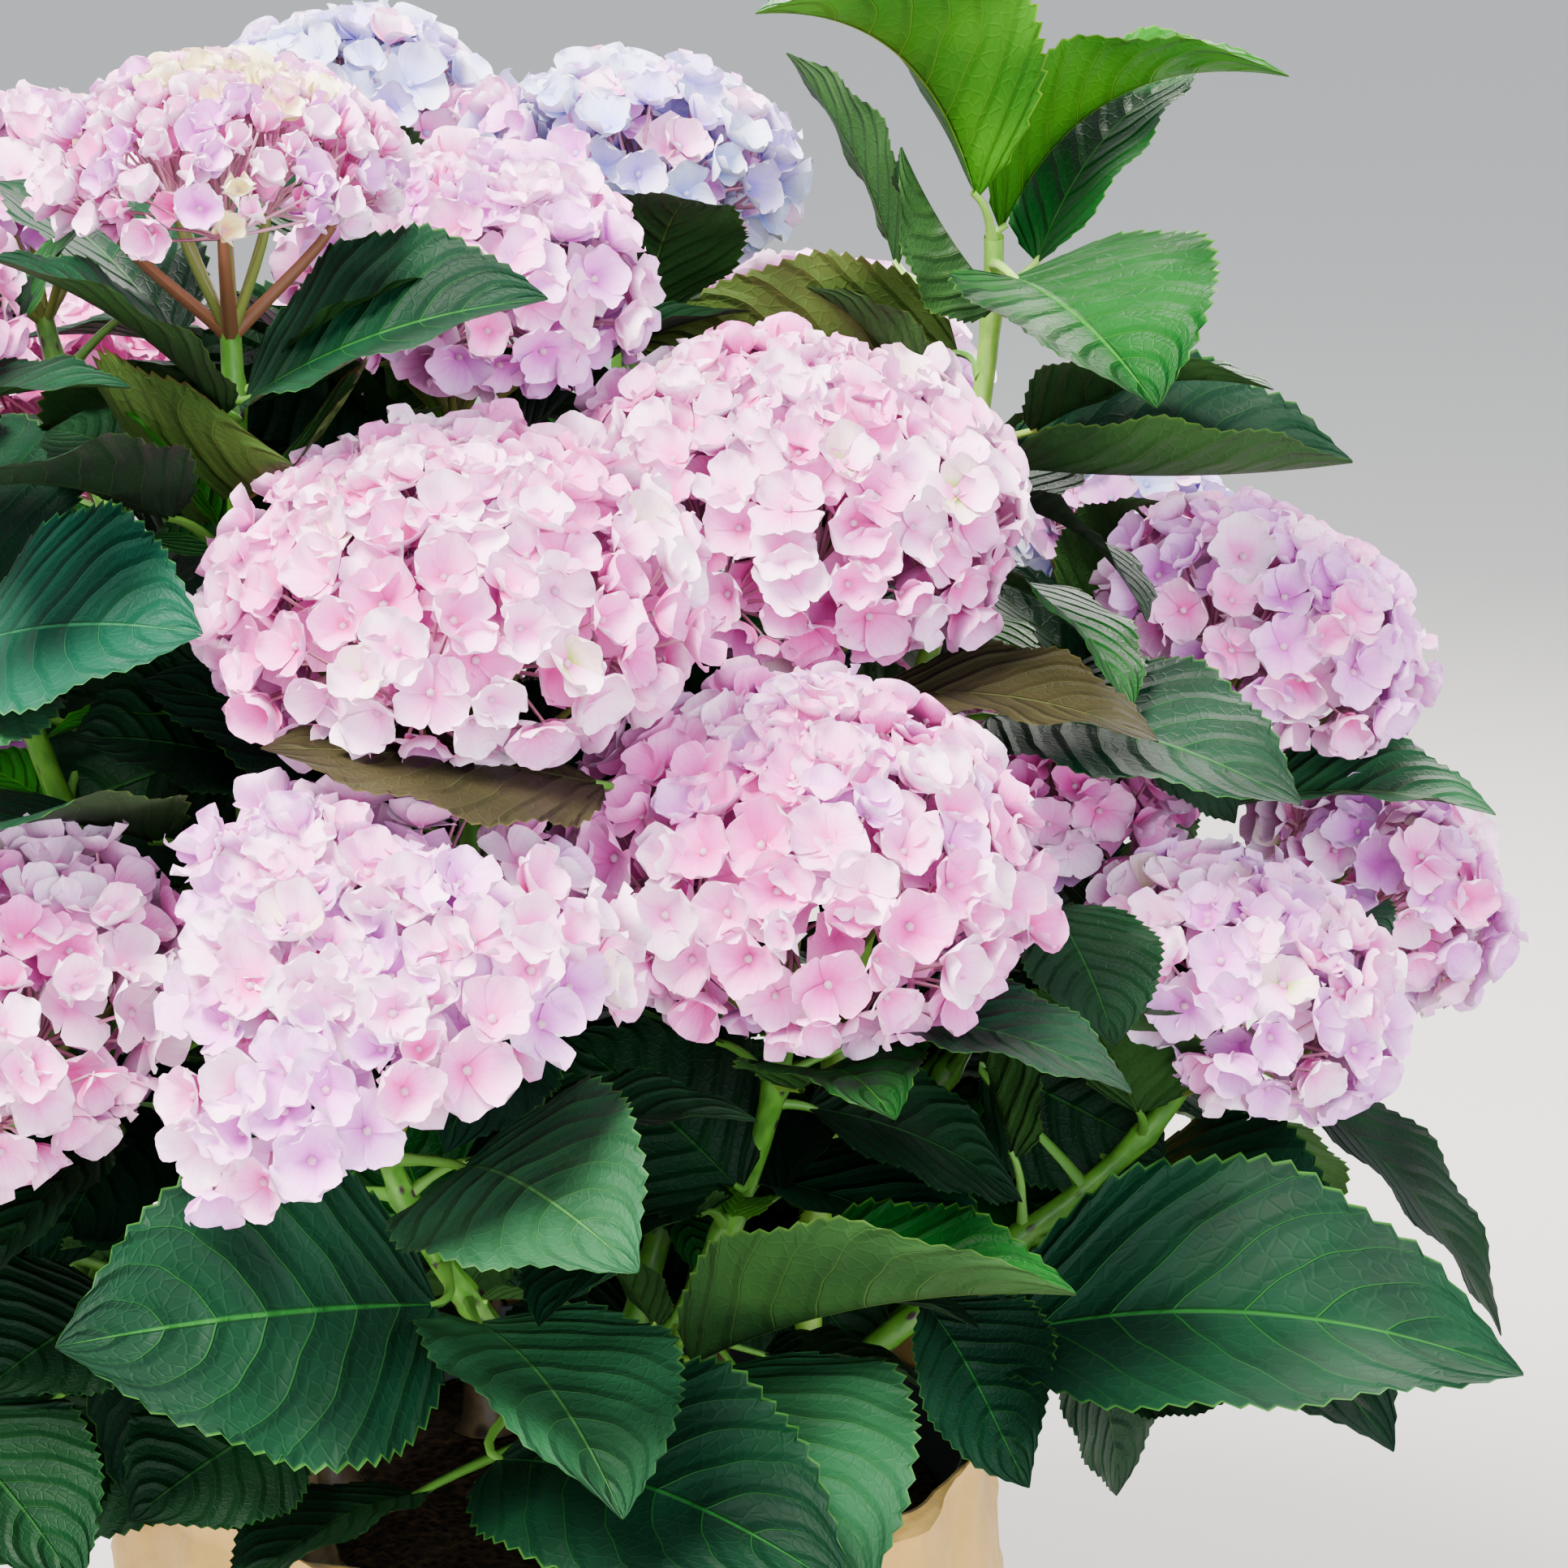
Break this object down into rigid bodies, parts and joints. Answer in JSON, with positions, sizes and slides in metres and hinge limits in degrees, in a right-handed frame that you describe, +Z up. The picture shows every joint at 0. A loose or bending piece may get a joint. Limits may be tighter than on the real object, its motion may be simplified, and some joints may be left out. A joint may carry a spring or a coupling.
{
  "type": "potted hydrangea shrub",
  "caption": "Bushy hydrangea with domed pink flower heads and broad toothed leaves on short canes, in a round pot wrapped in loose brown paper.",
  "frame": {"origin": "the middle of the pot's flat underside", "axes": "+Z up; -Y is the side shown to the viewer; +X to the viewer's right"},
  "size_m": [0.7066, 0.6534, 0.7278],
  "materials": {
    "pot": "matt dark grey plastic",
    "soil": "damp crumbly potting soil",
    "paper": "creased brown kraft paper",
    "cane": "thin ridged bark",
    "foliage": "satin leaf",
    "blossom": "soft matt petal"
  },
  "bodies": {
    "root": {"pot": "pot", "potting_soil": "soil", "paper_wrap": "paper", "cane_1": "cane", "cane_2": "cane", "cane_3": "cane", "cane_4": "cane", "cane_5": "cane", "cane_6": "cane", "shoot_01": "foliage", "shoot_02": "foliage", "shoot_03": "foliage", "shoot_04": "foliage", "shoot_05": "foliage", "shoot_06": "foliage", "shoot_07": "foliage", "shoot_08": "foliage", "shoot_09": "foliage", "shoot_10": "foliage", "shoot_11": "foliage", "shoot_12": "foliage", "shoot_13": "foliage", "shoot_14": "foliage", "shoot_15": "foliage", "shoot_16": "foliage", "shoot_17": "foliage", "shoot_18": "foliage", "shoot_19": "foliage", "shoot_20": "foliage", "shoot_21": "foliage", "shoot_22": "foliage", "shoot_23": "foliage", "shoot_24": "foliage", "shoot_25": "foliage", "bloom_01": "blossom", "bloom_02": "blossom", "bloom_03": "blossom", "bloom_04": "blossom", "bloom_05": "blossom", "bloom_06": "blossom", "bloom_07": "blossom", "bloom_08": "blossom", "bloom_09": "blossom", "bloom_10": "blossom", "bloom_11": "blossom", "bloom_12": "blossom", "bloom_13": "blossom", "bloom_14": "blossom", "bloom_15": "blossom", "bloom_16": "blossom", "bloom_17": "blossom", "bloom_18": "blossom", "bloom_19": "blossom", "bloom_20": "blossom", "bloom_21": "blossom", "bloom_22": "blossom", "bloom_23": "blossom", "bloom_24": "blossom"}
  },
  "joints": []
}
